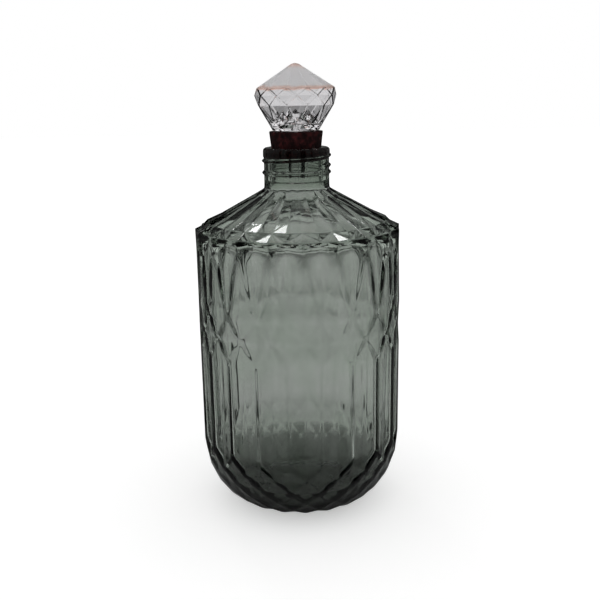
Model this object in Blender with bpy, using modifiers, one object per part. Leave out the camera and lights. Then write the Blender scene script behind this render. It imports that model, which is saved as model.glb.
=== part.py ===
"""Pressed-glass potion bottle with a tapered cork and a faceted crystal knob.

Metres, +Z up. The origin is the middle of the foot, on the surface that the bottle stands on.
The mould seam at the front of the bottle faces -Y.
"""
import math

import bmesh
import bpy

MM = 0.001

# Clearance that pieces keep where they touch
FIT_GAP = 0.3 * MM

# Glass body
BODY_RADIUS = 41.0 * MM
SHOULDER_EDGE_Z = 112.7 * MM
EDGE_ROUND_HEIGHT = 1.9 * MM
EDGE_ROUND_WIDTH = 1.5 * MM
SLOPE_AT_EDGE = 0.65
SLOPE_AT_NECK = 0.50
BODY_WALL = 3.1 * MM
SHOULDER_WALL = 3.4 * MM
FLOOR_THICKNESS = 6.1 * MM
FLOOR_DOME = 2.0 * MM
INNER_HEEL_INSET = 3.7 * MM
INNER_HEEL_RISE = 1.8 * MM
INNER_HEEL_TURN = math.radians(72.0)
FOOT_RADIUS = 18.9 * MM
HEEL_HEIGHT = 27.9 * MM
PUSH_UP_RADIUS = 15.0 * MM
PUSH_UP_HEIGHT = 1.8 * MM

# Pressed pattern: ridges between flat cuts, repeated round the body
REPEATS = 20
MID_BAND_Z = 76.2 * MM
MID_BAND_HALF = 8.8 * MM
HEEL_ROW_STEP = math.radians(12.5)
HEEL_ROWS = 5
DIAMOND_ROW_WIDTH = 4.45 * MM

# Neck and its screw finish
NECK_RADIUS = 12.85 * MM
NECK_HEIGHT = 16.0 * MM
BORE_RADIUS = 10.2 * MM
LIP_RADIUS = 13.15 * MM
LIP_HEIGHT = 3.6 * MM
LIP_ROUND = 1.3 * MM
BEAD_Z_ABOVE_NECK_BASE = 6.3 * MM
BEAD_PROUD = 0.8 * MM
BEAD_HALF_HEIGHT = 1.0 * MM
THREAD_PITCH = 3.9 * MM
THREAD_TURNS = 1.26
THREAD_PROUD = 0.85 * MM
THREAD_ROUND = 0.95 * MM
THREAD_TOP_BELOW_LIP = 2.48 * MM
THREAD_START_ANGLE = math.radians(60.0)
THREAD_FADE = 0.1

# Cork
CORK_TOP_RADIUS = 10.65 * MM
CORK_INSERTION = 4.7 * MM
CORK_PROUD = 6.2 * MM
CORK_CHAMFER = 0.35 * MM

# Crystal knob and the stem that runs through the cork
KNOB_FACETS = 12
KNOB_BASE_RADIUS = 9.1 * MM
KNOB_BASE_HEIGHT = 1.4 * MM
PAVILION_RADIUS = 15.1 * MM
PAVILION_HEIGHT = 8.3 * MM
GIRDLE_RADIUS = 15.9 * MM
GIRDLE_HEIGHT = 3.6 * MM
CROWN_RADIUS = 15.5 * MM
CROWN_BASE_HEIGHT = 2.8 * MM
CROWN_HEIGHT = 9.2 * MM
TIP_RADIUS = 1.5 * MM
TIP_ROUND = 0.35 * MM
STEM_RADIUS = 4.5 * MM
STEM_BELOW_CORK = 6.6 * MM
STEM_CHAMFER = 0.4 * MM

# Fineness of the turned and swept shapes
TURNED_STEPS = 60
ARC_STEPS = 8
BEAD_STEPS = 6
FLOOR_STEPS = 4
THREAD_POINTS = 40
MERGE_DISTANCE = 0.00001

SEAM_ANGLE = -math.pi / 2.0


def shoulder_height(radius):
    """Height of the shoulder over its outer edge, which gets steeper towards that edge."""
    run = SHOULDER_RADIUS - radius
    span = SHOULDER_RADIUS - NECK_RADIUS
    return run * (SLOPE_AT_EDGE - (SLOPE_AT_EDGE - SLOPE_AT_NECK) * run / (2.0 * span))


# Heights that follow from the sizes above
SHOULDER_RADIUS = BODY_RADIUS - EDGE_ROUND_WIDTH
SHOULDER_Z = SHOULDER_EDGE_Z + EDGE_ROUND_HEIGHT
NECK_BASE_Z = SHOULDER_Z + shoulder_height(NECK_RADIUS)
LIP_Z = NECK_BASE_Z + NECK_HEIGHT
CORK_TOP_Z = LIP_Z + CORK_PROUD
CORK_BOTTOM_Z = LIP_Z - CORK_INSERTION
CORK_LIP_RADIUS = BORE_RADIUS - FIT_GAP
CORK_TAPER = (CORK_TOP_RADIUS - CORK_LIP_RADIUS) / CORK_PROUD
CORK_BOTTOM_RADIUS = CORK_LIP_RADIUS - CORK_TAPER * CORK_INSERTION
KNOB_BASE_Z = CORK_TOP_Z + FIT_GAP
PAVILION_Z = KNOB_BASE_Z + KNOB_BASE_HEIGHT + PAVILION_HEIGHT
GIRDLE_Z = PAVILION_Z + GIRDLE_HEIGHT
CROWN_Z = GIRDLE_Z + CROWN_BASE_HEIGHT
STEM_BOTTOM_Z = CORK_BOTTOM_Z - STEM_BELOW_CORK


def clear_scene():
    for obj in list(bpy.data.objects):
        bpy.data.objects.remove(obj, do_unlink=True)


def new_collection(name):
    collection = bpy.data.collections.new(name)
    bpy.context.scene.collection.children.link(collection)
    return collection


def principled(name, colour, roughness, transmission=0.0, ior=1.5):
    material = bpy.data.materials.new(name)
    material.use_nodes = True
    shader = material.node_tree.nodes["Principled BSDF"]
    shader.inputs["Base Color"].default_value = (*colour, 1.0)
    shader.inputs["Roughness"].default_value = roughness
    shader.inputs["Metallic"].default_value = 0.0
    shader.inputs["Transmission Weight"].default_value = transmission
    shader.inputs["IOR"].default_value = ior
    material.diffuse_color = (*colour, 1.0)
    return material


def object_from_bmesh(name, bm, collection):
    mesh = bpy.data.meshes.new(name)
    bm.to_mesh(mesh)
    bm.free()
    obj = bpy.data.objects.new(name, mesh)
    collection.objects.link(obj)
    return obj


def turned(name, profile, collection, steps=TURNED_STEPS):
    """Turn an (r, z) profile about Z; it runs from the top down the outer side."""
    bm = bmesh.new()
    points = [bm.verts.new((r, 0.0, z)) for r, z in profile]
    for upper, lower in zip(points, points[1:]):
        bm.edges.new((upper, lower))
    obj = object_from_bmesh(name, bm, collection)
    screw = obj.modifiers.new("Screw", "SCREW")
    screw.steps = steps
    screw.render_steps = steps
    screw.use_merge_vertices = True
    screw.merge_threshold = MERGE_DISTANCE
    return obj


def boolean(obj, cutter, operation):
    modifier = obj.modifiers.new(cutter.name, "BOOLEAN")
    modifier.operation = operation
    modifier.object = cutter
    modifier.solver = "EXACT"


def hide_cutter(obj):
    obj.hide_render = True
    obj.display_type = "WIRE"


def arc(centre, radii, start, end, steps=ARC_STEPS):
    """Points (r, z) on an ellipse about a centre, from one angle to another."""
    angles = [start + (end - start) * i / steps for i in range(steps + 1)]
    return [(centre[0] + radii[0] * math.cos(a), centre[1] + radii[1] * math.sin(a)) for a in angles]


def ring_points(bm, radius, height, half_step, count, start_angle):
    """One ring of corners; half_step turns it by half a repeat."""
    turn = 2.0 * math.pi / count
    first = start_angle + (turn / 2.0 if half_step else 0.0)
    angles = [first + turn * i for i in range(count)]
    return [bm.verts.new((radius * math.cos(a), radius * math.sin(a), height)) for a in angles]


def faceted_loft(rings, count, start_angle):
    """Close the rings (radius, height, half_step) into one solid.

    Rings in step are joined by flat four-sided cuts, and rings half a repeat apart by triangles.
    """
    bm = bmesh.new()
    loops = [ring_points(bm, *ring, count, start_angle) for ring in rings]
    for (upper, lower), (top, bottom) in zip(zip(loops, loops[1:]), zip(rings, rings[1:])):
        for i in range(count):
            j = (i + 1) % count
            if top[2] == bottom[2]:
                bm.faces.new((upper[i], upper[j], lower[j], lower[i]))
            elif top[2]:
                bm.faces.new((upper[i], upper[j], lower[j]))
                bm.faces.new((upper[i], lower[j], lower[i]))
            else:
                bm.faces.new((upper[i], upper[j], lower[i]))
                bm.faces.new((upper[j], lower[j], lower[i]))
    bm.faces.new(loops[0])
    bm.faces.new(loops[-1])
    bmesh.ops.recalc_face_normals(bm, faces=bm.faces)
    return bm


def pattern_rings():
    """Rings of the body's ridge pattern, from inside the neck down to the foot."""
    neck_inside = NECK_RADIUS - BODY_WALL / 2.0
    first_row = SHOULDER_RADIUS - 2.0 * DIAMOND_ROW_WIDTH
    second_row = SHOULDER_RADIUS - DIAMOND_ROW_WIDTH
    rings = [
        (neck_inside, SHOULDER_Z + shoulder_height(neck_inside), True),
        (first_row, SHOULDER_Z + shoulder_height(first_row), True),
        (second_row, SHOULDER_Z + shoulder_height(second_row), False),
        (SHOULDER_RADIUS, SHOULDER_Z, True),
        (BODY_RADIUS, SHOULDER_EDGE_Z, False),
        (BODY_RADIUS, MID_BAND_Z + MID_BAND_HALF, True),
        (BODY_RADIUS, MID_BAND_Z, False),
        (BODY_RADIUS, MID_BAND_Z - MID_BAND_HALF, True),
    ]
    heel_reach = BODY_RADIUS - FOOT_RADIUS
    half_step = True
    for row in range(HEEL_ROWS + 1):
        angle = row * HEEL_ROW_STEP
        radius = FOOT_RADIUS + heel_reach * math.cos(angle)
        rings.append((radius, HEEL_HEIGHT * (1.0 - math.sin(angle)), half_step))
        half_step = not half_step
    rings.append((FOOT_RADIUS, 0.0, half_step))
    return rings


def neck_profile():
    """Outside of the neck: rounded lip, thread land, bead, and a foot inside the shoulder."""
    lip_bottom = LIP_Z - LIP_HEIGHT
    bead_z = NECK_BASE_Z + BEAD_Z_ABOVE_NECK_BASE
    lip_centre = (LIP_RADIUS - LIP_ROUND, LIP_Z - LIP_ROUND)
    profile = [(0.0, LIP_Z)]
    profile += arc(lip_centre, (LIP_ROUND, LIP_ROUND), math.pi / 2.0, 0.0, BEAD_STEPS)
    profile.append((LIP_RADIUS, lip_bottom))
    profile.append((NECK_RADIUS, lip_bottom - (LIP_RADIUS - NECK_RADIUS)))
    half_turn = (math.pi / 2.0, -math.pi / 2.0)
    profile += arc((NECK_RADIUS, bead_z), (BEAD_PROUD, BEAD_HALF_HEIGHT), *half_turn, BEAD_STEPS)
    profile.append((NECK_RADIUS, SHOULDER_Z))
    profile.append((0.0, SHOULDER_Z))
    return profile


def thread_coil(collection):
    """One right-handed turn and a bit of rounded thread, its ends faded into the neck."""
    curve = bpy.data.curves.new("thread", "CURVE")
    curve.dimensions = "3D"
    curve.bevel_depth = THREAD_ROUND
    curve.bevel_resolution = 2
    curve.use_fill_caps = True
    spline = curve.splines.new("POLY")
    spline.points.add(THREAD_POINTS)
    top = LIP_Z - THREAD_TOP_BELOW_LIP
    for i, point in enumerate(spline.points):
        along = i / THREAD_POINTS
        fade = min(1.0, along / THREAD_FADE, (1.0 - along) / THREAD_FADE)
        sunk = THREAD_ROUND + FIT_GAP - (THREAD_PROUD + FIT_GAP) * math.sin(fade * math.pi / 2.0)
        radius = NECK_RADIUS - sunk
        angle = THREAD_START_ANGLE - 2.0 * math.pi * THREAD_TURNS * along
        height = top - THREAD_PITCH * THREAD_TURNS * along
        point.co = (radius * math.cos(angle), radius * math.sin(angle), height, 1.0)
    swept = bpy.data.objects.new("thread_curve", curve)
    collection.objects.link(swept)
    bpy.context.view_layer.update()
    evaluated = swept.evaluated_get(bpy.context.evaluated_depsgraph_get())
    mesh = bpy.data.meshes.new_from_object(evaluated)
    bm = bmesh.new()
    bm.from_mesh(mesh)
    bmesh.ops.remove_doubles(bm, verts=bm.verts, dist=MERGE_DISTANCE)
    bmesh.ops.recalc_face_normals(bm, faces=bm.faces)
    thread = object_from_bmesh("thread_solid", bm, collection)
    thread.matrix_world = swept.matrix_world.copy()
    bpy.data.objects.remove(swept, do_unlink=True)
    bpy.data.meshes.remove(mesh)
    return thread


def cavity_profile():
    """Inside of the bottle: bore, shoulder, wall, heel and a thick floor that rises to the middle."""
    inner_radius = BODY_RADIUS - BODY_WALL
    inner_shoulder = SHOULDER_RADIUS - BODY_WALL
    above_lip = LIP_Z + LIP_HEIGHT
    profile = [(0.0, above_lip), (BORE_RADIUS, above_lip)]
    for i in range(ARC_STEPS + 1):
        radius = BORE_RADIUS + (inner_shoulder - BORE_RADIUS) * i / ARC_STEPS
        profile.append((radius, SHOULDER_Z + shoulder_height(radius) - SHOULDER_WALL))
    edge_z = profile[-1][1] - (inner_radius - inner_shoulder)
    profile.append((inner_radius, edge_z))
    heel_centre = (FOOT_RADIUS - INNER_HEEL_INSET, HEEL_HEIGHT + INNER_HEEL_RISE)
    heel_drop = (heel_centre[1] - FLOOR_THICKNESS) / math.sin(INNER_HEEL_TURN)
    profile += arc(heel_centre, (inner_radius - heel_centre[0], heel_drop), 0.0, -INNER_HEEL_TURN)
    floor_radius = profile[-1][0]
    for i in range(1, FLOOR_STEPS + 1):
        share = 1.0 - i / FLOOR_STEPS
        profile.append((floor_radius * share, FLOOR_THICKNESS + FLOOR_DOME * (1.0 - share * share)))
    return profile


def push_up_profile():
    """Shallow dome under the foot, which leaves a flat ring to stand on."""
    dome = arc((0.0, 0.0), (PUSH_UP_RADIUS, PUSH_UP_HEIGHT), math.pi / 2.0, 0.0)
    below = -FLOOR_THICKNESS
    return dome + [(PUSH_UP_RADIUS, below), (0.0, below)]


def make_bottle(parts, cutters):
    bm = faceted_loft(pattern_rings(), REPEATS, SEAM_ANGLE)
    bottle = object_from_bmesh("glass_bottle", bm, parts)
    neck = turned("neck_solid", neck_profile(), cutters)
    thread = thread_coil(cutters)
    cavity = turned("cavity", cavity_profile(), cutters)
    push_up = turned("push_up", push_up_profile(), cutters)
    for cutter in (neck, thread, cavity, push_up):
        hide_cutter(cutter)
    boolean(bottle, neck, "UNION")
    boolean(bottle, thread, "UNION")
    boolean(bottle, cavity, "DIFFERENCE")
    boolean(bottle, push_up, "DIFFERENCE")
    bottle.data.materials.append(principled("smoke_glass", (0.17, 0.21, 0.18), 0.02, transmission=1.0))
    return bottle


def make_cork(parts, carrier):
    """Tapered ring of cork, standing proud of the lip, with a hole for the stem."""
    hole = STEM_RADIUS + FIT_GAP
    profile = [
        (hole, CORK_TOP_Z),
        (CORK_TOP_RADIUS - CORK_CHAMFER, CORK_TOP_Z),
        (CORK_TOP_RADIUS - CORK_TAPER * CORK_CHAMFER, CORK_TOP_Z - CORK_CHAMFER),
        (CORK_BOTTOM_RADIUS + CORK_TAPER * CORK_CHAMFER, CORK_BOTTOM_Z + CORK_CHAMFER),
        (CORK_BOTTOM_RADIUS - CORK_CHAMFER, CORK_BOTTOM_Z),
        (hole, CORK_BOTTOM_Z),
        (hole, CORK_TOP_Z),
    ]
    cork = turned("cork_stopper", [(r, z - LIP_Z) for r, z in profile], parts)
    cork.data.materials.append(principled("dark_cork", (0.035, 0.012, 0.010), 0.6))
    cork.parent = carrier
    return cork


def make_knob(parts, cutters, carrier):
    """Cut crystal gem with its stem, one clear piece."""
    rings = [
        (TIP_RADIUS, CROWN_Z + CROWN_HEIGHT - TIP_ROUND, True),
        (CROWN_RADIUS, CROWN_Z, True),
        (GIRDLE_RADIUS, GIRDLE_Z, False),
        (PAVILION_RADIUS, PAVILION_Z, True),
        (KNOB_BASE_RADIUS, KNOB_BASE_Z + KNOB_BASE_HEIGHT, False),
        (KNOB_BASE_RADIUS, KNOB_BASE_Z, False),
    ]
    bm = bmesh.new()
    for ring in rings:
        ring_points(bm, *ring, KNOB_FACETS, SEAM_ANGLE)
    bm.verts.new((0.0, 0.0, CROWN_Z + CROWN_HEIGHT))
    bmesh.ops.convex_hull(bm, input=bm.verts)
    bmesh.ops.recalc_face_normals(bm, faces=bm.faces)
    bmesh.ops.translate(bm, vec=(0.0, 0.0, -LIP_Z), verts=bm.verts)
    knob = object_from_bmesh("crystal_knob", bm, parts)
    stem_profile = [
        (0.0, PAVILION_Z),
        (STEM_RADIUS, PAVILION_Z),
        (STEM_RADIUS, STEM_BOTTOM_Z + STEM_CHAMFER),
        (STEM_RADIUS - STEM_CHAMFER, STEM_BOTTOM_Z),
        (0.0, STEM_BOTTOM_Z),
    ]
    stem = turned("stem_solid", stem_profile, cutters, steps=TURNED_STEPS // 2)
    hide_cutter(stem)
    boolean(knob, stem, "UNION")
    knob.data.materials.append(principled("clear_crystal", (0.93, 0.93, 0.94), 0.01, transmission=1.0))
    knob.parent = carrier
    return knob


def main():
    clear_scene()
    parts = new_collection("potion_bottle")
    cutters = new_collection("cutters")
    stopper = bpy.data.objects.new("stopper_carrier", None)
    stopper.location = (0.0, 0.0, LIP_Z)
    parts.objects.link(stopper)
    make_bottle(parts, cutters)
    make_cork(parts, stopper)
    make_knob(parts, cutters, stopper)


main()
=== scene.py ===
"""Looks of the potion bottle: smoke glass with pressed ridges, dark cork and a cut crystal knob."""
import math
from collections import namedtuple

import bmesh
import bpy
import numpy as np
from mathutils import Matrix, Vector, noise


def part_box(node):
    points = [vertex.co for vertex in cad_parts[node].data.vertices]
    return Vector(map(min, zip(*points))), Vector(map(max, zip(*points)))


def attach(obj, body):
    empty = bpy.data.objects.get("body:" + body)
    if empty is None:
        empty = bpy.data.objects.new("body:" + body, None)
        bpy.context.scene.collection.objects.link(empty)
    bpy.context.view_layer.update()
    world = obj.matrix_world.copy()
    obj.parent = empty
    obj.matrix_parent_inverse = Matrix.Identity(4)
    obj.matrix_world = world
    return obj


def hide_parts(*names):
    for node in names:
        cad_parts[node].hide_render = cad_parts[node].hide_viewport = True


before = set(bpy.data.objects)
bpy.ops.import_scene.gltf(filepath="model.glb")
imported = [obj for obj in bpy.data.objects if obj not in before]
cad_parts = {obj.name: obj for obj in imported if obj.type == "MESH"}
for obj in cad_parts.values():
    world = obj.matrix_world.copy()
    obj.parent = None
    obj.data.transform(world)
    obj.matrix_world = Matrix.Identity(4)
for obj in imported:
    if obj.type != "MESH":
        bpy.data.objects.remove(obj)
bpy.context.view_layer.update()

MM = 0.001

# Sizes read from the frame
BOTTLE_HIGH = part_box("glass_bottle")[1]
CORK_LOW, CORK_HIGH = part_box("cork_stopper")
KNOB_LOW, KNOB_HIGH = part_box("crystal_knob")
BODY_RADIUS = BOTTLE_HIGH.y
LIP_Z = BOTTLE_HIGH.z

# Glass body
SHOULDER_EDGE_Z = 112.7 * MM
EDGE_ROUND_HEIGHT = 1.9 * MM
EDGE_ROUND_WIDTH = 1.5 * MM
SLOPE_AT_EDGE = 0.65
SLOPE_AT_NECK = 0.50
BODY_WALL = 3.1 * MM
SHOULDER_WALL = 3.4 * MM
FLOOR_THICKNESS = 6.1 * MM
FLOOR_DOME = 2.0 * MM
FOOT_RADIUS = 18.9 * MM
INNER_HEEL_INSET = 3.7 * MM
INNER_HEEL_RISE = 1.8 * MM
INNER_HEEL_TURN = math.radians(72.0)
HEEL_HEIGHT = 27.9 * MM
PUSH_UP_RADIUS = 15.0 * MM
PUSH_UP_HEIGHT = 1.8 * MM

# Pressed pattern: a depth is a share of the cell's width, and a negative one stands proud
REPEATS = 20
MID_BAND_Z = 76.2 * MM
MID_BAND_HALF = 8.8 * MM
HEEL_ROW_STEP = math.radians(12.5)
HEEL_ROWS = 5
DIAMOND_ROW_WIDTH = 4.45 * MM
CELL_DEPTH = 0.23
BAND_CELL_DEPTH = 0.06
HEEL_CELL_DEPTH = 0.1
SHOULDER_CELL_DEPTH = -0.2
FLUTE_DEPTH = 0.09

# Relief of the inside: its share of the outside's, and the height in which it fades below the shoulder
INNER_FOLLOW = 0.8
FOLLOW_FADE = 8.0 * MM

# Mould seams, whose reach to each side is counted in half repeats
SEAM_ANGLE = -math.pi / 2.0
SEAM_REACH = 0.04
SEAM_PROUD = 0.05 * MM

# Neck and its screw finish
NECK_RADIUS = 12.85 * MM
NECK_HEIGHT = 16.0 * MM
NECK_FILLET = 0.45 * MM
BORE_RADIUS = 10.2 * MM
LIP_RADIUS = 13.15 * MM
LIP_HEIGHT = 3.6 * MM
LIP_ROUND = 1.3 * MM
MOUTH_ROUND = 0.7 * MM
LEDGE_WIDTH = 0.6 * MM
LEDGE_HEIGHT = 0.4 * MM
FLARE_RADIUS = 11.8 * MM
FLARE_ABOVE_NECK_BASE = 3.2 * MM
BEAD_Z_ABOVE_NECK_BASE = 6.3 * MM
BEAD_PROUD = 0.8 * MM
BEAD_HALF_HEIGHT = 1.0 * MM
THREAD_PITCH = 3.9 * MM
THREAD_TURNS = 1.26
THREAD_PROUD = 0.85 * MM
THREAD_HALF_HEIGHT = 0.95 * MM
THREAD_TOP_BELOW_LIP = 2.48 * MM
THREAD_START_ANGLE = math.radians(60.0)
THREAD_FADE_SHARE = 0.1
RELIEF_POWER = 1.5

# Cork and stem; the points of the cork's rounded edge are shares of its size, inwards and down
STEM_RADIUS = 4.5 * MM
STEM_EDGE = 0.5 * MM
STEM_EDGE_SHARE = 0.3
FIT_GAP = 0.3 * MM
CORK_SQUEEZE = 0.16 * MM
CORK_EDGE = 0.35 * MM
CORK_EDGE_POINTS = [(2.0, 0.0), (0.5, 0.2)]
CORK_DENT = 0.05 * MM
CORK_DENT_SCALE = 900.0
CORK_SHARP_ANGLE = math.radians(40.0)

# Knob, and the ring of pointed teeth inside it
KNOB_FACETS = 12
KNOB_BASE_RADIUS = 9.1 * MM
KNOB_BASE_HEIGHT = 1.4 * MM
PAVILION_RADIUS = 15.1 * MM
PAVILION_HEIGHT = 8.3 * MM
GIRDLE_RADIUS = 15.9 * MM
GIRDLE_HEIGHT = 3.6 * MM
CROWN_RADIUS = 15.5 * MM
CROWN_BASE_HEIGHT = 2.8 * MM
CROWN_HEIGHT = 9.2 * MM
TIP_RADIUS = 1.5 * MM
TIP_ROUND = 0.35 * MM
KNOB_EDGE_ROUND = 0.04 * MM
KNOB_FLAT_ANGLE = math.radians(1.0)
KNOB_EDGE_ANGLE = math.radians(3.0)
KNOB_SHARP_ANGLE = math.radians(6.0)
KNOB_WALL = 1.1 * MM
PLUG_FOOT = 1.5 * MM
PLUG_RIM_INSET = 0.22 * MM
TOOTH_HEIGHTS = [4.0 * MM, 2.8 * MM, 4.6 * MM, 3.4 * MM]
TOOTH_RADIUS = 7.2 * MM
TOOTH_INSIDE_RADIUS = 4.8 * MM
TOOTH_VALLEY = 0.5 * MM
CONE_HEIGHT = 4.6 * MM

# Mesh fineness; a tuple gives places as shares of the seam's reach or of the stretch it is named for
COLUMNS_PER_HALF_STEP = 16
SEAM_COLUMNS = (0.4, 1.0)
ROWS_PER_CUT = 12
RIDGE_SOFTENING = 3
RIDGES_END_BELOW_EDGE = 1.0 * MM
PUSH_UP_SHARES = (0.12, 0.3, 0.5, 0.7, 0.85, 0.95, 1.0)
FOOT_SHARES = (0.35, 0.75)
FLUTE_ROWS = 10
FINE_ROWS_BELOW_NECK = 2.5 * MM
FINE_ROW_STEP = 0.3 * MM
LIP_STEPS = 6
MOUTH_STEPS = 5
BORE_ROWS = 8
LEDGE_STEPS = 6
INNER_SHOULDER_ROWS = 16
INNER_WALL_ROWS = 60
INNER_HEEL_STEPS = 24
INNER_SOFTENING = 2
FLOOR_SHARES = (0.95, 0.8, 0.6, 0.4, 0.2, 0.07)
CORK_STEPS = 96
CORK_ROWS = 24
STEM_STEPS = 64
STEM_ROWS = 6

# Smoke glass; here and below, noise scales are per metre
WHITE = (1.0, 1.0, 1.0)
GLASS_IOR = 1.5
GLASS_ABSORPTION = (0.0, 0.09, 0.0)
GLASS_DENSITY = 155.0
GLASS_BUMP = 0.02 * MM
STREAK_SCALE = 70.0
STREAK_COLOURS = [(0.3, (0.94, 0.97, 0.94)), (0.7, WHITE)]
WAVE_SCALE = 110.0
LINE_SCALE = 500.0
LINE_STRETCH = 40.0
LINE_SHARE = 0.5
NECK_SHADE = (0.72, 0.75, 0.72)
NECK_SHADE_REACH = 2.0 * MM

# Cork
GRAIN_SCALE = 420.0
GRAIN_ROUGHNESS = 0.65
GRAIN_COLOURS = [
    (0.3, (0.003, 0.001, 0.001)), (0.5, (0.016, 0.0025, 0.003)), (0.72, (0.06, 0.0075, 0.0085)),
]
CORK_ROUGHNESS = 0.6
CORK_SPECULAR = 0.12
CORK_BUMP = 0.25 * MM

# Crystal, whose rose bands are painted reflection: places of bands and haze are shares of the way from
# just below the crown to the tip
CRYSTAL_IOR = 1.49
CRYSTAL_CLEAR = (0.98, 0.975, 0.985)
ROSE_REFLECTION = (0.98, 0.74, 0.66)
CRYSTAL_REFLECTION_BANDS = [
    (0.05, CRYSTAL_CLEAR), (0.11, ROSE_REFLECTION), (0.17, ROSE_REFLECTION),
    (0.23, CRYSTAL_CLEAR), (0.8, CRYSTAL_CLEAR), (0.93, ROSE_REFLECTION),
]
BANDS_BELOW_CROWN = 1.5 * MM
BAND_WAVE_SCALE = 260.0
BAND_WAVE = 1.0 * MM
HAZE_START = 0.1
HAZE_FULL = 0.14
CROWN_HAZE = 0.45
CROWN_CLEAR = 0.6

# Camera, as solved from the photo
CAMERA_DISTANCE = 337.1 * MM
CAMERA_HEIGHT = 168.0 * MM
CAMERA_PITCH = math.radians(14.0)
CAMERA_AZIMUTH = math.radians(-2.7)
CAMERA_AIM_RIGHT = math.radians(0.0785)
CAMERA_ROLL = math.radians(-0.965)
LENS_MM = 50.8
SENSOR_MM = 36.0

# Plain light, and the floor, which is lifted for the camera alone and fades out in what glass sees; near
# the bottle, glass and gloss see it darkened by painted shade
WORLD_LEVEL = 0.75
FLOOR_SIZE = 6.0
FLOOR_DROP = 0.2 * MM
FLOOR_ROUGHNESS = 0.9
FLOOR_LEVEL = 0.86
FLOOR_SHADE_IN_GLASS = 0.3
FLOOR_LIFT = 0.42
FLOOR_SEEN_RADIUS = 51.0 * MM
FLOOR_GONE_RADIUS = 76.5 * MM

# Windows that glass and gloss see: start and end in degrees round from +X, and level
WINDOWS = [
    (-146.5, -129.5, 1.0), (-109.5, -79.5, 0.67), (-59.5, -42.5, 1.0), (-34.5, 25.5, 1.0),
    (33.5, 56.5, 1.0), (70.5, 100.5, 0.67), (121.5, 137.5, 1.0), (145.5, 205.5, 1.0),
]
WINDOW_EDGE = 2.0

# By elevation in degrees: how bright what glass sees is, and how dark the gaps between the windows are
SKY_LEVELS = [
    (-70, 0.46), (-45, 0.69), (-30, 0.72), (-22, 0.76), (-16, 0.91), (-13, 0.82),
    (-10, 0.5), (-8, 0.33), (-5.5, 0.38), (-4, 0.56), (-2.2, 0.82), (0.5, 1.0), (75, 1.0),
]
GAP_LEVELS = [(-50, 0.0), (-40, 1.0), (30, 1.0), (45, 0.2)]

# Share of that brightness which a gloss shows
GLOSS_LEVEL = 0.16

# Lamps far behind the bottle: name, azimuth and elevation in degrees, width and height in metres
BACK_LIGHTS = [
    ("back_left_high", 107.3, 51.3, 0.22, 0.22),
    ("back_left_middle", 113.2, 48.2, 0.2, 0.2),
    ("back_left_low", 109.8, 38.3, 0.2, 0.2),
    ("back_right", 61.2, 44.6, 0.2, 0.2),
]
LIGHT_DISTANCE = 4.0
LIGHT_LEVEL = 24.0

# Worked out from the values above
SHOULDER_RADIUS = BODY_RADIUS - EDGE_ROUND_WIDTH
SHOULDER_Z = SHOULDER_EDGE_Z + EDGE_ROUND_HEIGHT
NECK_BASE_Z = LIP_Z - NECK_HEIGHT
LEDGE_Z = NECK_BASE_Z + FLARE_ABOVE_NECK_BASE
HALF_STEPS = 2 * REPEATS
HALF_STEP_ANGLE = 2.0 * math.pi / HALF_STEPS

Ring = namedtuple("Ring", "radius height half_step depth", defaults=(0.0,))


def round_point(radius, angle, height):
    return radius * math.cos(angle), radius * math.sin(angle), height


def add_object(name, data):
    obj = bpy.data.objects.new(name, data)
    bpy.context.scene.collection.objects.link(obj)
    return obj


# Smoke-glass bottle


def shoulder_height(radius):
    """Height of the shoulder above its outer edge; the slope eases off towards the neck."""
    run = SHOULDER_RADIUS - radius
    span = SHOULDER_RADIUS - NECK_RADIUS
    return run * (SLOPE_AT_EDGE - (SLOPE_AT_EDGE - SLOPE_AT_NECK) * run / (2.0 * span))


def half_step_columns():
    """Column positions round the body, counted in half repeats from the seam, and closer at both seams."""
    even = np.arange(HALF_STEPS * COLUMNS_PER_HALF_STEP) / COLUMNS_PER_HALF_STEP
    fine = []
    for seam in (0, HALF_STEPS // 2):
        for share in SEAM_COLUMNS:
            fine += [seam - share * SEAM_REACH, seam + share * SEAM_REACH]
    return np.sort(np.concatenate([even, np.array(fine) % HALF_STEPS]))


def raise_seams(rows, columns):
    """Lift the two mould seams above the glass round them, and keep all within the body's radius."""
    away = np.minimum(columns % (HALF_STEPS // 2), -columns % (HALF_STEPS // 2))
    lift = SEAM_PROUD * np.clip(1.0 - away / SEAM_REACH, 0.0, 1.0)
    radii = np.hypot(rows[:, :, 0], rows[:, :, 1])
    scale = np.minimum(radii + lift, BODY_RADIUS) / radii
    return rows * np.stack([scale, scale, np.ones_like(scale)], axis=2)


def round_row(columns, radius, height):
    angle = SEAM_ANGLE + columns * HALF_STEP_ANGLE
    radius = np.broadcast_to(radius, columns.shape)
    heights = np.full(columns.shape, height)
    return np.stack([radius * np.cos(angle), radius * np.sin(angle), heights], axis=1)


def ring_point(ring, place):
    """Point of a ring at a place counted in half repeats."""
    return np.array(round_point(ring.radius, SEAM_ANGLE + place * HALF_STEP_ANGLE, ring.height))


def sink(point, depth):
    """Move a point towards the axis."""
    scale = 1.0 - depth / math.hypot(point[0], point[1])
    return point * np.array([scale, scale, 1.0])


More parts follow.
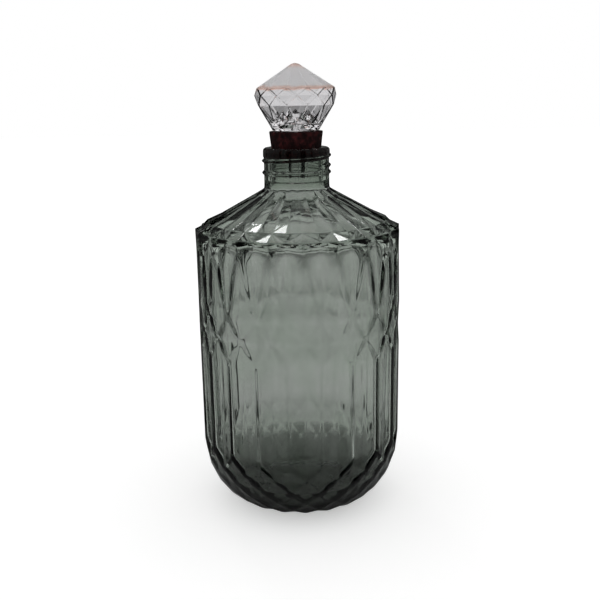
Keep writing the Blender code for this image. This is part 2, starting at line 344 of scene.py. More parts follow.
def cut_row(columns, low, high, share):
    """Level row at a share of the way up between two rings: ridges, and hollows between them."""
    def along(low_place, high_place):
        """Point on the straight line from a corner of the low ring to one of the high ring."""
        return ring_point(low, low_place) * (1.0 - share) + ring_point(high, high_place) * share

    spots = []
    for place in range(HALF_STEPS):
        if (place % 2 == 1) != low.half_step:
            continue
        if low.half_step == high.half_step:
            here, after = along(place, place), along(place + 2, place + 2)
            depth = low.depth * (1.0 - share) + high.depth * share
            spots += [(place, here), (place + 1, sink((here + after) / 2.0, depth))]
            continue
        left, right, after = along(place, place - 1), along(place, place + 1), along(place + 2, place + 1)
        spots.append((place, sink((left + right) / 2.0, high.depth * share)))
        if share > 0.0:
            spots += [(place - share, left), (place + share, right)]
        spots.append((place + 1, sink((right + after) / 2.0, low.depth * (1.0 - share))))
    places = np.array([spot[0] for spot in spots]) % HALF_STEPS
    points = np.array([spot[1] for spot in spots])
    order = np.argsort(places)
    axes = [np.interp(columns, places[order], points[order, axis], period=HALF_STEPS) for axis in range(3)]
    return np.stack(axes, axis=1)


def depth_share(height):
    """Depth of the cells at a ring of this height, as a share of their width."""
    if height > SHOULDER_EDGE_Z:
        return SHOULDER_CELL_DEPTH
    if height < HEEL_HEIGHT:
        return HEEL_CELL_DEPTH
    if MID_BAND_Z - MID_BAND_HALF <= height <= MID_BAND_Z + MID_BAND_HALF:
        return BAND_CELL_DEPTH
    return CELL_DEPTH


def pattern_rings():
    """Rings of the ridge pattern from the foot up; the shoulder's flutes start at the last one."""
    rings = [Ring(FOOT_RADIUS, 0.0, HEEL_ROWS % 2 == 1)]
    for row in range(HEEL_ROWS, -1, -1):
        angle = row * HEEL_ROW_STEP
        radius = FOOT_RADIUS + (BODY_RADIUS - FOOT_RADIUS) * math.cos(angle)
        rings.append(Ring(radius, HEEL_HEIGHT * (1.0 - math.sin(angle)), row % 2 == 0))
    rings += [
        Ring(BODY_RADIUS, MID_BAND_Z - MID_BAND_HALF, True),
        Ring(BODY_RADIUS, MID_BAND_Z, False),
        Ring(BODY_RADIUS, MID_BAND_Z + MID_BAND_HALF, True),
        Ring(BODY_RADIUS, SHOULDER_EDGE_Z, False),
        Ring(SHOULDER_RADIUS, SHOULDER_Z, True),
    ]
    for rows_in in (1, 2):
        radius = SHOULDER_RADIUS - rows_in * DIAMOND_ROW_WIDTH
        rings.append(Ring(radius, SHOULDER_Z + shoulder_height(radius), rows_in % 2 == 0))
    hollowed = []
    for before, ring, after in zip(rings[:1] + rings[:-1], rings, rings[1:] + rings[-1:]):
        run, rise = after.radius - before.radius, after.height - before.height
        width = ring.radius * HALF_STEP_ANGLE
        share = FLUTE_DEPTH if ring is rings[-1] else depth_share(ring.height)
        hollowed.append(ring._replace(depth=share * width * math.hypot(run, rise) / rise))
    return hollowed


def smooth_max(a, b, width):
    return 0.5 * (a + b + np.sqrt((a - b) ** 2 + 4.0 * width * width))


def relief_section(distance, half_height):
    """Round section of the bead and the thread, 1 at its crest and 0 from its half height on."""
    share = np.clip(np.abs(distance) / half_height, 0.0, 1.0)
    return np.cos(share * math.pi / 2.0) ** RELIEF_POWER


def thread_relief(angle, height):
    """How far the screw thread stands proud at an angle and a height."""
    relief = np.zeros_like(angle)
    top = LIP_Z - THREAD_TOP_BELOW_LIP
    for lap in range(-1, 3):
        turns = (THREAD_START_ANGLE - angle) / (2.0 * math.pi) + lap
        along = turns / THREAD_TURNS
        inside = (along > 0.0) & (along < 1.0)
        fade = np.clip(np.minimum(along, 1.0 - along) / THREAD_FADE_SHARE, 0.0, 1.0)
        crest = top - THREAD_PITCH * turns
        section = relief_section(height - crest, THREAD_HALF_HEIGHT)
        proud = THREAD_PROUD * np.sin(fade * math.pi / 2.0) * section
        relief = np.maximum(relief, np.where(inside, proud, 0.0))
    return relief


def neck_row(columns, height, cuts, flute_ring):
    """Row on the shoulder's flutes or the neck; the flutes die out where the neck begins."""
    angle = SEAM_ANGLE + columns * HALF_STEP_ANGLE
    slope = (flute_ring.radius - NECK_RADIUS) / (NECK_BASE_Z - flute_ring.height)
    shoulder = flute_ring.radius - (height - flute_ring.height) * slope
    lip_bottom = LIP_Z - LIP_HEIGHT
    land = np.clip((height - lip_bottom) / (LIP_RADIUS - NECK_RADIUS) + 1.0, 0.0, 1.0)
    neck = NECK_RADIUS + (LIP_RADIUS - NECK_RADIUS) * land
    bead_z = NECK_BASE_Z + BEAD_Z_ABOVE_NECK_BASE
    neck = neck + BEAD_PROUD * relief_section(np.float64(height - bead_z), BEAD_HALF_HEIGHT)
    neck = np.maximum(neck, NECK_RADIUS + thread_relief(angle, height))
    if height < bead_z - BEAD_HALF_HEIGHT:
        neck = smooth_max(shoulder * cuts, neck, NECK_FILLET)
    return round_row(columns, neck, height)


def soften_along(rows):
    """Small blur from row to row, which leaves the first and the last as they are."""
    middle = 0.25 * rows[:-2] + 0.5 * rows[1:-1] + 0.25 * rows[2:]
    return np.concatenate([rows[:1], middle, rows[-1:]])


def soften(rows, passes):
    """Round the ridges: a small blur round and along the body."""
    for _ in range(passes):
        rows = 0.25 * np.roll(rows, 1, axis=1) + 0.5 * rows + 0.25 * np.roll(rows, -1, axis=1)
        rows = soften_along(rows)
    return rows


def foot_rows(columns):
    """Rows under the bottle, from the middle of the push-up out to the foot."""
    rows = []
    for share in PUSH_UP_SHARES:
        height = PUSH_UP_HEIGHT * math.sqrt(1.0 - share * share)
        rows.append(round_row(columns, PUSH_UP_RADIUS * share, height))
    for share in FOOT_SHARES:
        rows.append(round_row(columns, PUSH_UP_RADIUS + (FOOT_RADIUS - PUSH_UP_RADIUS) * share, 0.0))
    return np.array(rows)


def pattern_rows(columns):
    """Rows from the foot's edge up to the lip's rounding, and how the cells above each row are faced."""
    rings = pattern_rings()
    rows, facing = [], []
    for low, high in zip(rings, rings[1:]):
        upright = low.half_step == high.half_step
        count = 2 * ROWS_PER_CUT if upright else ROWS_PER_CUT
        rows += [cut_row(columns, low, high, step / count) for step in range(count)]
        facing += ["level" if upright else ("odd" if low.half_step else "even")] * count
    top = rings[-1]
    flat = cut_row(columns, top, top, 0.0)
    cuts = np.hypot(flat[:, 0], flat[:, 1]) / top.radius
    fine_from = NECK_BASE_Z - FINE_ROWS_BELOW_NECK
    heights = list(np.linspace(top.height, fine_from, FLUTE_ROWS, endpoint=False))
    heights += list(np.arange(fine_from, LIP_Z - LIP_ROUND, FINE_ROW_STEP))
    rows += [neck_row(columns, height, cuts, top) for height in heights]
    facing += ["level"] * len(heights)
    rows = np.array(rows)
    edge = int(np.argmax(rows[:, 0, 2] > SHOULDER_EDGE_Z - RIDGES_END_BELOW_EDGE))
    rows[:edge] = soften(rows[:edge], RIDGE_SOFTENING)
    return raise_seams(rows, columns), facing


def lip_rows(columns):
    """Rows of the rounding on the lip's outer edge."""
    rows = []
    for step in range(1, LIP_STEPS + 1):
        turn = step / LIP_STEPS * math.pi / 2.0
        radius = LIP_RADIUS - LIP_ROUND * (1.0 - math.cos(turn))
        rows.append(round_row(columns, radius, LIP_Z - LIP_ROUND * (1.0 - math.sin(turn))))
    return np.array(rows)


def inner_profile():
    """Inside of the bottle (radius, height), from the lip down to the middle of the floor."""
    inner_radius = BODY_RADIUS - BODY_WALL
    inner_shoulder = SHOULDER_RADIUS - BODY_WALL
    points = []
    for step in range(MOUTH_STEPS + 1):
        turn = math.pi / 2.0 * step / MOUTH_STEPS
        radius = BORE_RADIUS + MOUTH_ROUND * (1.0 - math.sin(turn))
        points.append((radius, LIP_Z - MOUTH_ROUND * (1.0 - math.cos(turn))))
    for height in np.linspace(LIP_Z - MOUTH_ROUND, LEDGE_Z, BORE_ROWS + 1)[1:]:
        points.append((BORE_RADIUS, height))
    for step in range(1, LEDGE_STEPS + 1):
        radius = BORE_RADIUS + LEDGE_WIDTH * step / LEDGE_STEPS
        points.append((radius, LEDGE_Z - LEDGE_HEIGHT * step / LEDGE_STEPS))
    for radius in np.linspace(FLARE_RADIUS, inner_shoulder, INNER_SHOULDER_ROWS):
        points.append((radius, SHOULDER_Z + shoulder_height(radius) - SHOULDER_WALL))
    edge_z = points[-1][1] - (inner_radius - inner_shoulder)
    heel_centre, heel_z = FOOT_RADIUS - INNER_HEEL_INSET, HEEL_HEIGHT + INNER_HEEL_RISE
    heel_drop = (heel_z - FLOOR_THICKNESS) / math.sin(INNER_HEEL_TURN)
    for height in np.linspace(edge_z, heel_z, INNER_WALL_ROWS):
        points.append((inner_radius, height))
    for step in range(1, INNER_HEEL_STEPS + 1):
        turn = step / INNER_HEEL_STEPS * INNER_HEEL_TURN
        radius = heel_centre + (inner_radius - heel_centre) * math.cos(turn)
        points.append((radius, heel_z - heel_drop * math.sin(turn)))
    floor_radius = points[-1][0]
    for share in FLOOR_SHARES:
        points.append((floor_radius * share, FLOOR_THICKNESS + FLOOR_DOME * (1.0 - share * share)))
    return points


def inner_rows(columns, pattern):
    """Rows of the inside, whose body repeats most of the outside's relief."""
    points = np.array(inner_profile())
    for _ in range(INNER_SOFTENING):
        points = soften_along(points)
    heights = pattern[:, :, 2].mean(axis=1)
    radii = np.hypot(pattern[:, :, 0], pattern[:, :, 1])
    relief = radii - radii.mean(axis=1, keepdims=True)
    rows = []
    for radius, height in points:
        place = np.interp(height, heights, np.arange(len(heights)))
        low = min(int(place), len(heights) - 2)
        here = relief[low] * (1.0 - place + low) + relief[low + 1] * (place - low)
        fade = min(1.0, max(0.0, (height - SHOULDER_EDGE_Z) / FOLLOW_FADE + 1.0))
        share = INNER_FOLLOW * (1.0 - fade) if radius > FOOT_RADIUS else 0.0
        rows.append(round_row(columns, radius + share * here, height))
    return np.array(rows)


def row_faces(facing, columns):
    """Faces from each row to the next; where the ridges slant, each cell is split along them."""
    count = len(columns)
    faces = []
    for row, kind in enumerate(facing[:-1]):
        low, high = row * count, (row + 1) * count
        for column in range(count):
            after = (column + 1) % count
            a, b, c, d = low + column, low + after, high + after, high + column
            if kind == "level":
                faces.append((a, b, c, d))
            elif (int(columns[column]) % 2 == 1) == (kind == "odd"):
                faces += [(a, b, c), (a, c, d)]
            else:
                faces += [(a, b, d), (b, c, d)]
    return faces


def make_bottle():
    """Bottle as one closed skin, from the push-up out, up, over the lip and down to the floor inside."""
    columns = half_step_columns()
    count = len(columns)
    foot, lip = foot_rows(columns), lip_rows(columns)
    pattern, facing = pattern_rows(columns)
    inside = inner_rows(columns, pattern)
    rows = np.concatenate([foot, pattern, lip, inside])
    facing = ["level"] * len(foot) + facing + ["level"] * (len(lip) + len(inside))
    faces = row_faces(facing, columns)
    poles = [[0.0, 0.0, PUSH_UP_HEIGHT], [0.0, 0.0, FLOOR_THICKNESS + FLOOR_DOME]]
    first_pole = len(rows) * count
    last = (len(rows) - 1) * count
    for column in range(count):
        after = (column + 1) % count
        faces.append((first_pole, after, column))
        faces.append((first_pole + 1, last + column, last + after))
    mesh = bpy.data.meshes.new("pressed_bottle")
    mesh.from_pydata(np.concatenate([rows.reshape(-1, 3), poles]).tolist(), [], faces)
    mesh.update()
    mesh.shade_smooth()
    bottle = add_object("pressed_bottle", mesh)
    bottle.data.materials.append(smoke_glass())
    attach(bottle, "bottle")
    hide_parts("glass_bottle")


# Materials


def new_material(name):
    material = bpy.data.materials.new(name)
    material.use_nodes = True
    nodes = material.node_tree.nodes
    return material, nodes, material.node_tree.links, nodes["Principled BSDF"]


def grey(level):
    return (level,) * 3


def math_node(nodes, links, operation, *inputs):
    """Math node fed with sockets or plain numbers."""
    node = nodes.new("ShaderNodeMath")
    node.operation = operation
    for socket, source in zip(node.inputs, inputs):
        if isinstance(source, (int, float)):
            socket.default_value = source
        else:
            links.new(source, socket)
    return node.outputs[0]


def soft_step(nodes, links, source, start, end):
    """Smooth step from 0 at the start to 1 at the end."""
    step = nodes.new("ShaderNodeMapRange")
    step.interpolation_type = "SMOOTHSTEP"
    step.inputs["From Min"].default_value = start
    step.inputs["From Max"].default_value = end
    links.new(source, step.inputs["Value"])
    return step.outputs[0]


def object_height(nodes, links):
    """Height in object space, which starts at the bottle's foot for every piece."""
    place = nodes.new("ShaderNodeTexCoord")
    split = nodes.new("ShaderNodeSeparateXYZ")
    links.new(place.outputs["Object"], split.inputs[0])
    return split.outputs["Z"]


def noise_level(nodes, links, scale, detail, roughness=0.5, stretch=1.0):
    """Level of noise in object space, drawn out along Z by a stretch over 1."""
    place = nodes.new("ShaderNodeTexCoord")
    squeeze = nodes.new("ShaderNodeVectorMath")
    squeeze.operation = "MULTIPLY"
    squeeze.inputs[1].default_value = (1.0, 1.0, 1.0 / stretch)
    links.new(place.outputs["Object"], squeeze.inputs[0])
    texture = nodes.new("ShaderNodeTexNoise")
    texture.inputs["Scale"].default_value = scale
    texture.inputs["Detail"].default_value = detail
    texture.inputs["Roughness"].default_value = roughness
    links.new(squeeze.outputs["Vector"], texture.inputs["Vector"])
    return texture.outputs["Fac"]


def colour_ramp(nodes, links, source, stops):
    """Colour by level, from stops of (place, colour)."""
    ramp = nodes.new("ShaderNodeValToRGB")
    while len(ramp.color_ramp.elements) < len(stops):
        ramp.color_ramp.elements.new(0.5)
    for element, (place, colour) in zip(ramp.color_ramp.elements, stops):
        element.position = place
        element.color = (*colour, 1.0)
    links.new(source, ramp.inputs["Fac"])
    return ramp.outputs["Color"]


def bump(nodes, links, source, shader, distance):
    node = nodes.new("ShaderNodeBump")
    node.inputs["Distance"].default_value = distance
    links.new(source, node.inputs["Height"])
    links.new(node.outputs["Normal"], shader.inputs["Normal"])


def smoke_glass():
    """Grey glass with a green cast, whose depth of colour comes from the glass that light crosses, and
    whose neck is also tinted darker than the body.
    """
    material, nodes, links, shader = new_material("smoke glass")
    shader.inputs["Transmission Weight"].default_value = 1.0
    shader.inputs["IOR"].default_value = GLASS_IOR
    shader.inputs["Roughness"].default_value = 0.0
    streaks = noise_level(nodes, links, STREAK_SCALE, detail=2.0)
    height = object_height(nodes, links)
    # the neck's glass is tinted darker than the body's, from the neck's base up
    neck = soft_step(nodes, links, height, NECK_BASE_Z - NECK_SHADE_REACH, NECK_BASE_Z + NECK_SHADE_REACH)
    tint = nodes.new("ShaderNodeMix")
    tint.data_type = "RGBA"
    tint.blend_type = "MULTIPLY"
    tint.inputs["Factor"].default_value = 1.0
    links.new(colour_ramp(nodes, links, streaks, STREAK_COLOURS), tint.inputs["A"])
    links.new(colour_ramp(nodes, links, neck, [(0.0, WHITE), (1.0, NECK_SHADE)]), tint.inputs["B"])
    links.new(tint.outputs["Result"], shader.inputs["Base Color"])
    waves = noise_level(nodes, links, WAVE_SCALE, detail=1.0)
    lines = noise_level(nodes, links, LINE_SCALE, detail=2.0, stretch=LINE_STRETCH)
    relief = math_node(nodes, links, "MULTIPLY_ADD", lines, LINE_SHARE, waves)
    bump(nodes, links, relief, shader, GLASS_BUMP)
    absorb = nodes.new("ShaderNodeVolumeAbsorption")
    absorb.inputs["Color"].default_value = (*GLASS_ABSORPTION, 1.0)
    absorb.inputs["Density"].default_value = GLASS_DENSITY
    links.new(absorb.outputs["Volume"], nodes["Material Output"].inputs["Volume"])
    return material


def dark_cork():
    """Cork stained dark red-brown, with a fine grain."""
    material, nodes, links, shader = new_material("dark cork")
    grain = noise_level(nodes, links, GRAIN_SCALE, detail=5.0, roughness=GRAIN_ROUGHNESS)
    links.new(colour_ramp(nodes, links, grain, GRAIN_COLOURS), shader.inputs["Base Color"])
    shader.inputs["Roughness"].default_value = CORK_ROUGHNESS
    shader.inputs["Specular IOR Level"].default_value = CORK_SPECULAR
    bump(nodes, links, grain, shader, CORK_BUMP)
    return material


def clear_crystal():
    """Crystal that is hazy in the crown, with wavy bands of painted rose reflection at the crown's foot
    and at the tip.
    """
    material, nodes, links, shader = new_material("clear crystal")
    shader.inputs["IOR"].default_value = CRYSTAL_IOR
    clouds = noise_level(nodes, links, BAND_WAVE_SCALE, detail=2.0)
    wave = math_node(nodes, links, "MULTIPLY_ADD", clouds, 2.0 * BAND_WAVE, -BAND_WAVE)
    height = math_node(nodes, links, "ADD", object_height(nodes, links), wave)
    low = KNOB_HIGH.z - CROWN_HEIGHT - BANDS_BELOW_CROWN
    rise = math_node(nodes, links, "SUBTRACT", height, low)
    share = math_node(nodes, links, "DIVIDE", rise, KNOB_HIGH.z - low)
    # painted reflection: rose bands at the crown's foot and at the tip
    links.new(colour_ramp(nodes, links, share, CRYSTAL_REFLECTION_BANDS), shader.inputs["Base Color"])
    haze = [(HAZE_START, grey(0.0)), (HAZE_FULL, grey(CROWN_HAZE))]
    links.new(colour_ramp(nodes, links, share, haze), shader.inputs["Roughness"])
    clearness = [(HAZE_START, grey(1.0)), (HAZE_FULL, grey(CROWN_CLEAR))]
    links.new(colour_ramp(nodes, links, share, clearness), shader.inputs["Transmission Weight"])
    return material


# Cork and knob


def make_object(name, bm, material, node):
    """Piece of the stopper that stands for a node."""
    mesh = bpy.data.meshes.new(name)
    bm.to_mesh(mesh)
    bm.free()
    obj = add_object(name, mesh)
    obj.data.materials.append(material)
    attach(obj, "stopper")
    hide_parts(node)
    return obj


def smooth_faces(bm):
    for face in bm.faces:
        face.smooth = True


def turned_bmesh(profile, steps, closed):
    """Turn (radius, height) points about Z; a closed profile makes a ring."""
    bm = bmesh.new()
    turn = 2.0 * math.pi / steps
    loops = []
    for radius, height in profile:
        if radius == 0.0:
            loops.append([bm.verts.new((0.0, 0.0, height))] * steps)
            continue
        loops.append([bm.verts.new(round_point(radius, i * turn, height)) for i in range(steps)])
    pairs = list(zip(loops, loops[1:]))
    if closed:
        pairs.append((loops[-1], loops[0]))
    for upper, lower in pairs:
        for i in range(steps):
            j = (i + 1) % steps
            corners = []
            for vert in (upper[i], lower[i], lower[j], upper[j]):
                if vert not in corners:
                    corners.append(vert)
            bm.faces.new(corners)
    bmesh.ops.recalc_face_normals(bm, faces=bm.faces)
    return bm


def make_cork():
    """Ring of cork round the stem: tapered above the mouth, and squeezed to the bore below it."""
    hole = STEM_RADIUS + FIT_GAP
    top_radius = CORK_HIGH.y
    bore_at_lip = BORE_RADIUS - FIT_GAP
    taper = (top_radius - bore_at_lip) / (CORK_HIGH.z - LIP_Z)
    profile = [(hole, CORK_HIGH.z)]
    for inwards, down in CORK_EDGE_POINTS:
        profile.append((top_radius - inwards * CORK_EDGE, CORK_HIGH.z - down * CORK_EDGE))
    for height in np.linspace(CORK_HIGH.z - CORK_EDGE, CORK_LOW.z + CORK_EDGE, CORK_ROWS):
        tapered = top_radius - taper * (CORK_HIGH.z - height)
        in_bore = height < LIP_Z - MOUTH_ROUND
        profile.append((BORE_RADIUS + CORK_SQUEEZE if in_bore else tapered, height))
    profile += [(profile[-1][0] - CORK_EDGE, CORK_LOW.z), (hole, CORK_LOW.z)]
    bm = turned_bmesh(profile, CORK_STEPS, closed=True)
    for vert in bm.verts:
        side = Vector((vert.co.x, vert.co.y, 0.0))
        if side.length > hole + CORK_EDGE:
            dent = CORK_DENT + CORK_DENT * noise.noise(vert.co * CORK_DENT_SCALE)
            vert.co -= side.normalized() * dent
    smooth_faces(bm)
    cork = make_object("tapered_cork", bm, dark_cork(), "cork_stopper")
    cork.data.set_sharp_from_angle(angle=CORK_SHARP_ANGLE)


def knob_rings():
    """Rings of the knob's outside from the tip down."""
    crown = KNOB_HIGH.z - CROWN_HEIGHT
    girdle = crown - CROWN_BASE_HEIGHT
    pavilion = girdle - GIRDLE_HEIGHT
    base = pavilion - PAVILION_HEIGHT
    return [
        Ring(TIP_RADIUS, KNOB_HIGH.z - TIP_ROUND, True),
        Ring(CROWN_RADIUS, crown, True),
        Ring(GIRDLE_RADIUS, girdle, False),
        Ring(PAVILION_RADIUS, pavilion, True),
        Ring(KNOB_BASE_RADIUS, base, False),
        Ring(KNOB_BASE_RADIUS, base - KNOB_BASE_HEIGHT, False),
    ]


def facet_corners(bm, ring):
    """Vertices of a ring of the knob, the first at the seam or half a facet past it."""
    turn = 2.0 * math.pi / KNOB_FACETS
    first = SEAM_ANGLE + (turn / 2.0 if ring.half_step else 0.0)
    angles = [first + turn * i for i in range(KNOB_FACETS)]
    return [bm.verts.new(round_point(ring.radius, angle, ring.height)) for angle in angles]


def faceted_bmesh(tip, rings):
    """Flat facets from a point at the tip's height down through the rings, open at the bottom."""
    bm = bmesh.new()
    point = bm.verts.new((0.0, 0.0, tip))
    loops = [facet_corners(bm, ring) for ring in rings]
    for i in range(KNOB_FACETS):
        bm.faces.new((point, loops[0][i], loops[0][(i + 1) % KNOB_FACETS]))
    for upper, lower, high, low in zip(rings, rings[1:], loops, loops[1:]):
        for i in range(KNOB_FACETS):
            j = (i + 1) % KNOB_FACETS
            if upper.half_step == lower.half_step:
                bm.faces.new((high[i], low[i], low[j], high[j]))
            elif upper.half_step:
                bm.faces.new((high[i], low[i], low[j]))
                bm.faces.new((high[i], low[j], high[j]))
            else:
                bm.faces.new((high[i], low[i], high[j]))
                bm.faces.new((high[j], low[i], low[j]))
    bmesh.ops.recalc_face_normals(bm, faces=bm.faces)
    return bm


def add_teeth(bm, rim):
    """Close the hollow's floor with a ring of pointed glass teeth round a blunt cone."""
    floor_z = rim[0].co.z
    valleys = []
    for vert in rim:
        angle = math.atan2(vert.co.y, vert.co.x)
        valleys.append(bm.verts.new(round_point(TOOTH_INSIDE_RADIUS, angle, floor_z + TOOTH_VALLEY)))
    middle = bm.verts.new((0.0, 0.0, floor_z + CONE_HEIGHT))
    for i, (low, valley) in enumerate(zip(rim, valleys)):
        after = (i + 1) % len(rim)
        next_low, next_valley = rim[after], valleys[after]
        angle = math.atan2(low.co.y, low.co.x) + math.pi / KNOB_FACETS
        height = TOOTH_HEIGHTS[i % len(TOOTH_HEIGHTS)]
        point = bm.verts.new(round_point(TOOTH_RADIUS, angle, floor_z + height))
        for a, b in ((low, next_low), (next_low, next_valley), (next_valley, valley), (valley, low)):
            bm.faces.new((a, b, point))
        bm.faces.new((valley, next_valley, middle))
    bmesh.ops.recalc_face_normals(bm, faces=bm.faces)


def add_knob_hollow(mesh, rings):
    """Hollow the knob out above a solid plug that carries the stem and a ring of teeth."""
    tip, crown, girdle, pavilion, base = rings[:5]
    run = crown.radius - tip.radius
    slope = math.hypot(run, tip.height - crown.height) / run
    inside_tip = tip.height - KNOB_WALL * slope
    floor_z = base.height + PLUG_FOOT
    inside = faceted_bmesh(inside_tip + TIP_ROUND, [
        Ring(tip.radius, inside_tip, True),
        Ring(crown.radius - KNOB_WALL, crown.height, True),
        Ring(girdle.radius - KNOB_WALL, girdle.height, False),
        Ring(pavilion.radius - KNOB_WALL, pavilion.height, True),
        Ring(KNOB_BASE_RADIUS - PLUG_RIM_INSET, floor_z, False),
    ])
    add_teeth(inside, [vert for vert in inside.verts if vert.co.z < floor_z + TIP_ROUND])
    bmesh.ops.reverse_faces(inside, faces=inside.faces)
    inside.from_mesh(mesh)
    inside.to_mesh(mesh)
    inside.free()


def make_stem(top, knob_base):
    """Round stem from inside the knob down through the cork."""
    inset = STEM_EDGE_SHARE * STEM_EDGE
    profile = [(0.0, top), (STEM_RADIUS, top)]
    profile += [(STEM_RADIUS, z) for z in np.linspace(knob_base, KNOB_LOW.z + STEM_EDGE, STEM_ROWS)]
    profile += [(STEM_RADIUS - inset, KNOB_LOW.z + inset), (STEM_RADIUS - STEM_EDGE, KNOB_LOW.z)]
    profile.append((0.0, KNOB_LOW.z))
    bm = turned_bmesh(profile, STEM_STEPS, closed=False)
    smooth_faces(bm)
    mesh = bpy.data.meshes.new("stem")
    bm.to_mesh(mesh)
    bm.free()
    return add_object("stem", mesh)


def make_knob():
    """Faceted knob with thin bevels on its edges, joined to its stem and hollowed out."""
    rings = knob_rings()
    bm = bmesh.new()
    for ring in rings:
        facet_corners(bm, ring)
    bm.verts.new((0.0, 0.0, KNOB_HIGH.z))
    bmesh.ops.convex_hull(bm, input=bm.verts)
    bmesh.ops.dissolve_limit(bm, angle_limit=KNOB_FLAT_ANGLE, verts=bm.verts, edges=bm.edges)
    edges = [edge for edge in bm.edges if edge.calc_face_angle(0.0) > KNOB_EDGE_ANGLE]
    bmesh.ops.bevel(bm, geom=edges, offset=KNOB_EDGE_ROUND, segments=2, profile=0.5, affect="EDGES")
    bmesh.ops.recalc_face_normals(bm, faces=bm.faces)
    smooth_faces(bm)
    knob = make_object("cut_knob", bm, clear_crystal(), "crystal_knob")
    knob.data.set_sharp_from_angle(angle=KNOB_SHARP_ANGLE)
    stem = make_stem(rings[3].height, rings[-1].height)
    union = knob.modifiers.new("stem", "BOOLEAN")
    union.operation = "UNION"
    union.object = stem
    bpy.context.view_layer.update()
    evaluated = knob.evaluated_get(bpy.context.evaluated_depsgraph_get())
    joined = bpy.data.meshes.new_from_object(evaluated)
    knob.modifiers.clear()
    knob.data = joined
    add_knob_hollow(joined, rings)
    bpy.data.objects.remove(stem)


# Stage, light and camera


def ray_flags(nodes, links):
    """Flags of rays that come from glass or a gloss, from the camera, and through glass."""
    path = nodes.new("ShaderNodeLightPath")
    through = path.outputs["Is Transmission Ray"]
    glass = math_node(nodes, links, "MAXIMUM", path.outputs["Is Glossy Ray"], through)
    return glass, path.outputs["Is Camera Ray"], through


def make_stage():
    """Pale floor; glass and gloss see it darkened by painted shade, and only near the bottle."""
    bpy.ops.mesh.primitive_plane_add(size=FLOOR_SIZE, location=(0.0, 0.0, -FLOOR_DROP))
    floor = bpy.context.object
    floor.name = "floor"
    material, nodes, links, shader = new_material("pale floor")
    shader.inputs["Roughness"].default_value = FLOOR_ROUGHNESS
    shader.inputs["Specular IOR Level"].default_value = 0.0
    glass, camera = ray_flags(nodes, links)[:2]
    links.new(math_node(nodes, links, "MULTIPLY", camera, FLOOR_LIFT), shader.inputs["Emission Strength"])
    place = nodes.new("ShaderNodeTexCoord")
    length = nodes.new("ShaderNodeVectorMath")
    length.operation = "LENGTH"
    links.new(place.outputs["Object"], length.inputs[0])
    away = soft_step(nodes, links, length.outputs["Value"], FLOOR_SEEN_RADIUS, FLOOR_GONE_RADIUS)
    # painted shade: glass and gloss see the floor darker than the camera does
    levels = [(0.0, grey(FLOOR_LEVEL)), (1.0, grey(FLOOR_SHADE_IN_GLASS))]
    links.new(colour_ramp(nodes, links, glass, levels), shader.inputs["Base Color"])
    clear = nodes.new("ShaderNodeBsdfTransparent")
    mix = nodes.new("ShaderNodeMixShader")
    links.new(math_node(nodes, links, "MULTIPLY", glass, away), mix.inputs["Fac"])
    links.new(shader.outputs[0], mix.inputs[1])
    links.new(clear.outputs[0], mix.inputs[2])
    links.new(mix.outputs[0], nodes["Material Output"].inputs["Surface"])
    floor.data.materials.append(material)


def elevation_stops(levels):
    """Ramp stops by elevation, with -90 degrees at 0 and 90 degrees at 1."""
    return [(0.5 + 0.5 * math.sin(math.radians(elevation)), grey(level)) for elevation, level in levels]


def window_stops():
    """Ramp stops by azimuth, with -180 degrees at 0 and 180 degrees at 1; each window has soft edges."""
    stops = []
    for start, end, level in WINDOWS:
        dark_before, dark_after = start - WINDOW_EDGE, end + WINDOW_EDGE
        for azimuth, height in ((dark_before, 0.0), (start, level), (end, level), (dark_after, 0.0)):
            stops.append(((azimuth + 180.0) % 360.0 / 360.0, grey(height)))
    return sorted(stops)


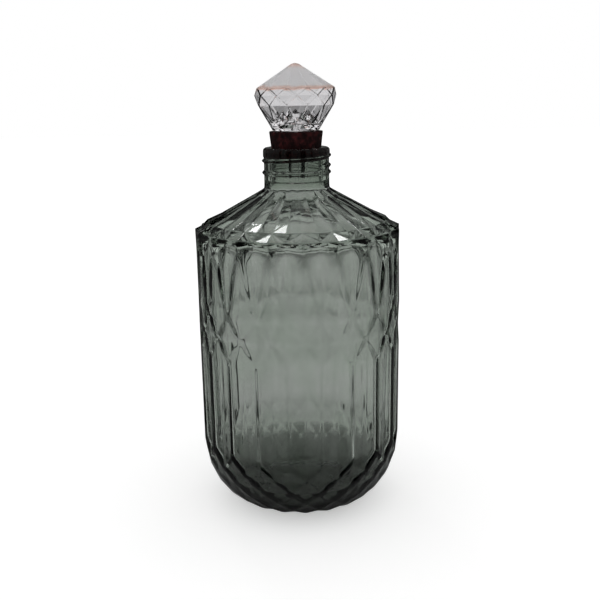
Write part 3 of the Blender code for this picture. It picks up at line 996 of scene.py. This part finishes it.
def make_world():
    """Plain light for the surfaces; glass and gloss see a ring of soft windows with dim gaps between."""
    world = bpy.data.worlds.new("soft_studio")
    bpy.context.scene.world = world
    world.use_nodes = True
    nodes, links = world.node_tree.nodes, world.node_tree.links
    plain = nodes["Background"]
    plain.inputs["Color"].default_value = (*WHITE, 1.0)
    glass, camera, through = ray_flags(nodes, links)
    level = math_node(nodes, links, "MULTIPLY_ADD", camera, 1.0 - WORLD_LEVEL, WORLD_LEVEL)
    links.new(level, plain.inputs["Strength"])
    place = nodes.new("ShaderNodeTexCoord")
    split = nodes.new("ShaderNodeSeparateXYZ")
    links.new(place.outputs["Generated"], split.inputs[0])
    azimuth = math_node(nodes, links, "ARCTAN2", split.outputs["Y"], split.outputs["X"])
    round_share = math_node(nodes, links, "MULTIPLY_ADD", azimuth, 0.5 / math.pi, 0.5)
    windows = colour_ramp(nodes, links, round_share, window_stops())
    up_share = math_node(nodes, links, "MULTIPLY_ADD", split.outputs["Z"], 0.5, 0.5)
    sky = colour_ramp(nodes, links, up_share, elevation_stops(SKY_LEVELS))
    darkness = colour_ramp(nodes, links, up_share, elevation_stops(GAP_LEVELS))
    gaps = math_node(nodes, links, "SUBTRACT", 1.0, windows)
    dark_gaps = math_node(nodes, links, "MULTIPLY", gaps, darkness)
    lit = math_node(nodes, links, "SUBTRACT", 1.0, dark_gaps)
    gloss = math_node(nodes, links, "SUBTRACT", glass, through)
    dimmer = math_node(nodes, links, "MULTIPLY_ADD", gloss, GLOSS_LEVEL - 1.0, 1.0)
    seen = nodes.new("ShaderNodeBackground")
    links.new(sky, seen.inputs["Color"])
    links.new(math_node(nodes, links, "MULTIPLY", dimmer, lit), seen.inputs["Strength"])
    mix = nodes.new("ShaderNodeMixShader")
    links.new(glass, mix.inputs["Fac"])
    links.new(plain.outputs[0], mix.inputs[1])
    links.new(seen.outputs[0], mix.inputs[2])
    links.new(mix.outputs[0], nodes["World Output"].inputs["Surface"])


def make_light(name, azimuth, elevation, width, height):
    """Lamp far behind the bottle, aimed at its shoulder, that isn't seen directly or through the glass."""
    data = bpy.data.lights.new(name, "AREA")
    data.shape = "RECTANGLE"
    data.size = width
    data.size_y = height
    data.energy = LIGHT_LEVEL * width * height
    light = add_object(name, data)
    turn = Matrix.Rotation(math.radians(azimuth), 4, "Z")
    tilt = Matrix.Rotation(-math.radians(elevation), 4, "Y")
    aim = Vector((0.0, 0.0, SHOULDER_Z))
    light.location = aim + turn @ tilt @ Vector((LIGHT_DISTANCE, 0.0, 0.0))
    light.rotation_euler = (aim - light.location).to_track_quat("-Z", "Y").to_euler()
    light.visible_camera = False
    light.visible_transmission = False


def make_camera():
    data = bpy.data.cameras.new("camera")
    data.lens = LENS_MM
    data.sensor_width = SENSOR_MM
    camera = add_object("camera", data)
    place = Vector(round_point(CAMERA_DISTANCE, -math.pi / 2.0 + CAMERA_AZIMUTH, CAMERA_HEIGHT))
    turn = Matrix.Rotation(CAMERA_AZIMUTH - CAMERA_AIM_RIGHT, 4, "Z")
    tilt = Matrix.Rotation(math.pi / 2.0 - CAMERA_PITCH, 4, "X")
    roll = Matrix.Rotation(CAMERA_ROLL, 4, "Z")
    camera.matrix_world = Matrix.Translation(place) @ turn @ tilt @ roll
    bpy.context.scene.camera = camera


make_bottle()
make_cork()
make_knob()
make_stage()
make_world()
for lamp in BACK_LIGHTS:
    make_light(*lamp)
make_camera()
bpy.context.scene.view_settings.view_transform = "Standard"
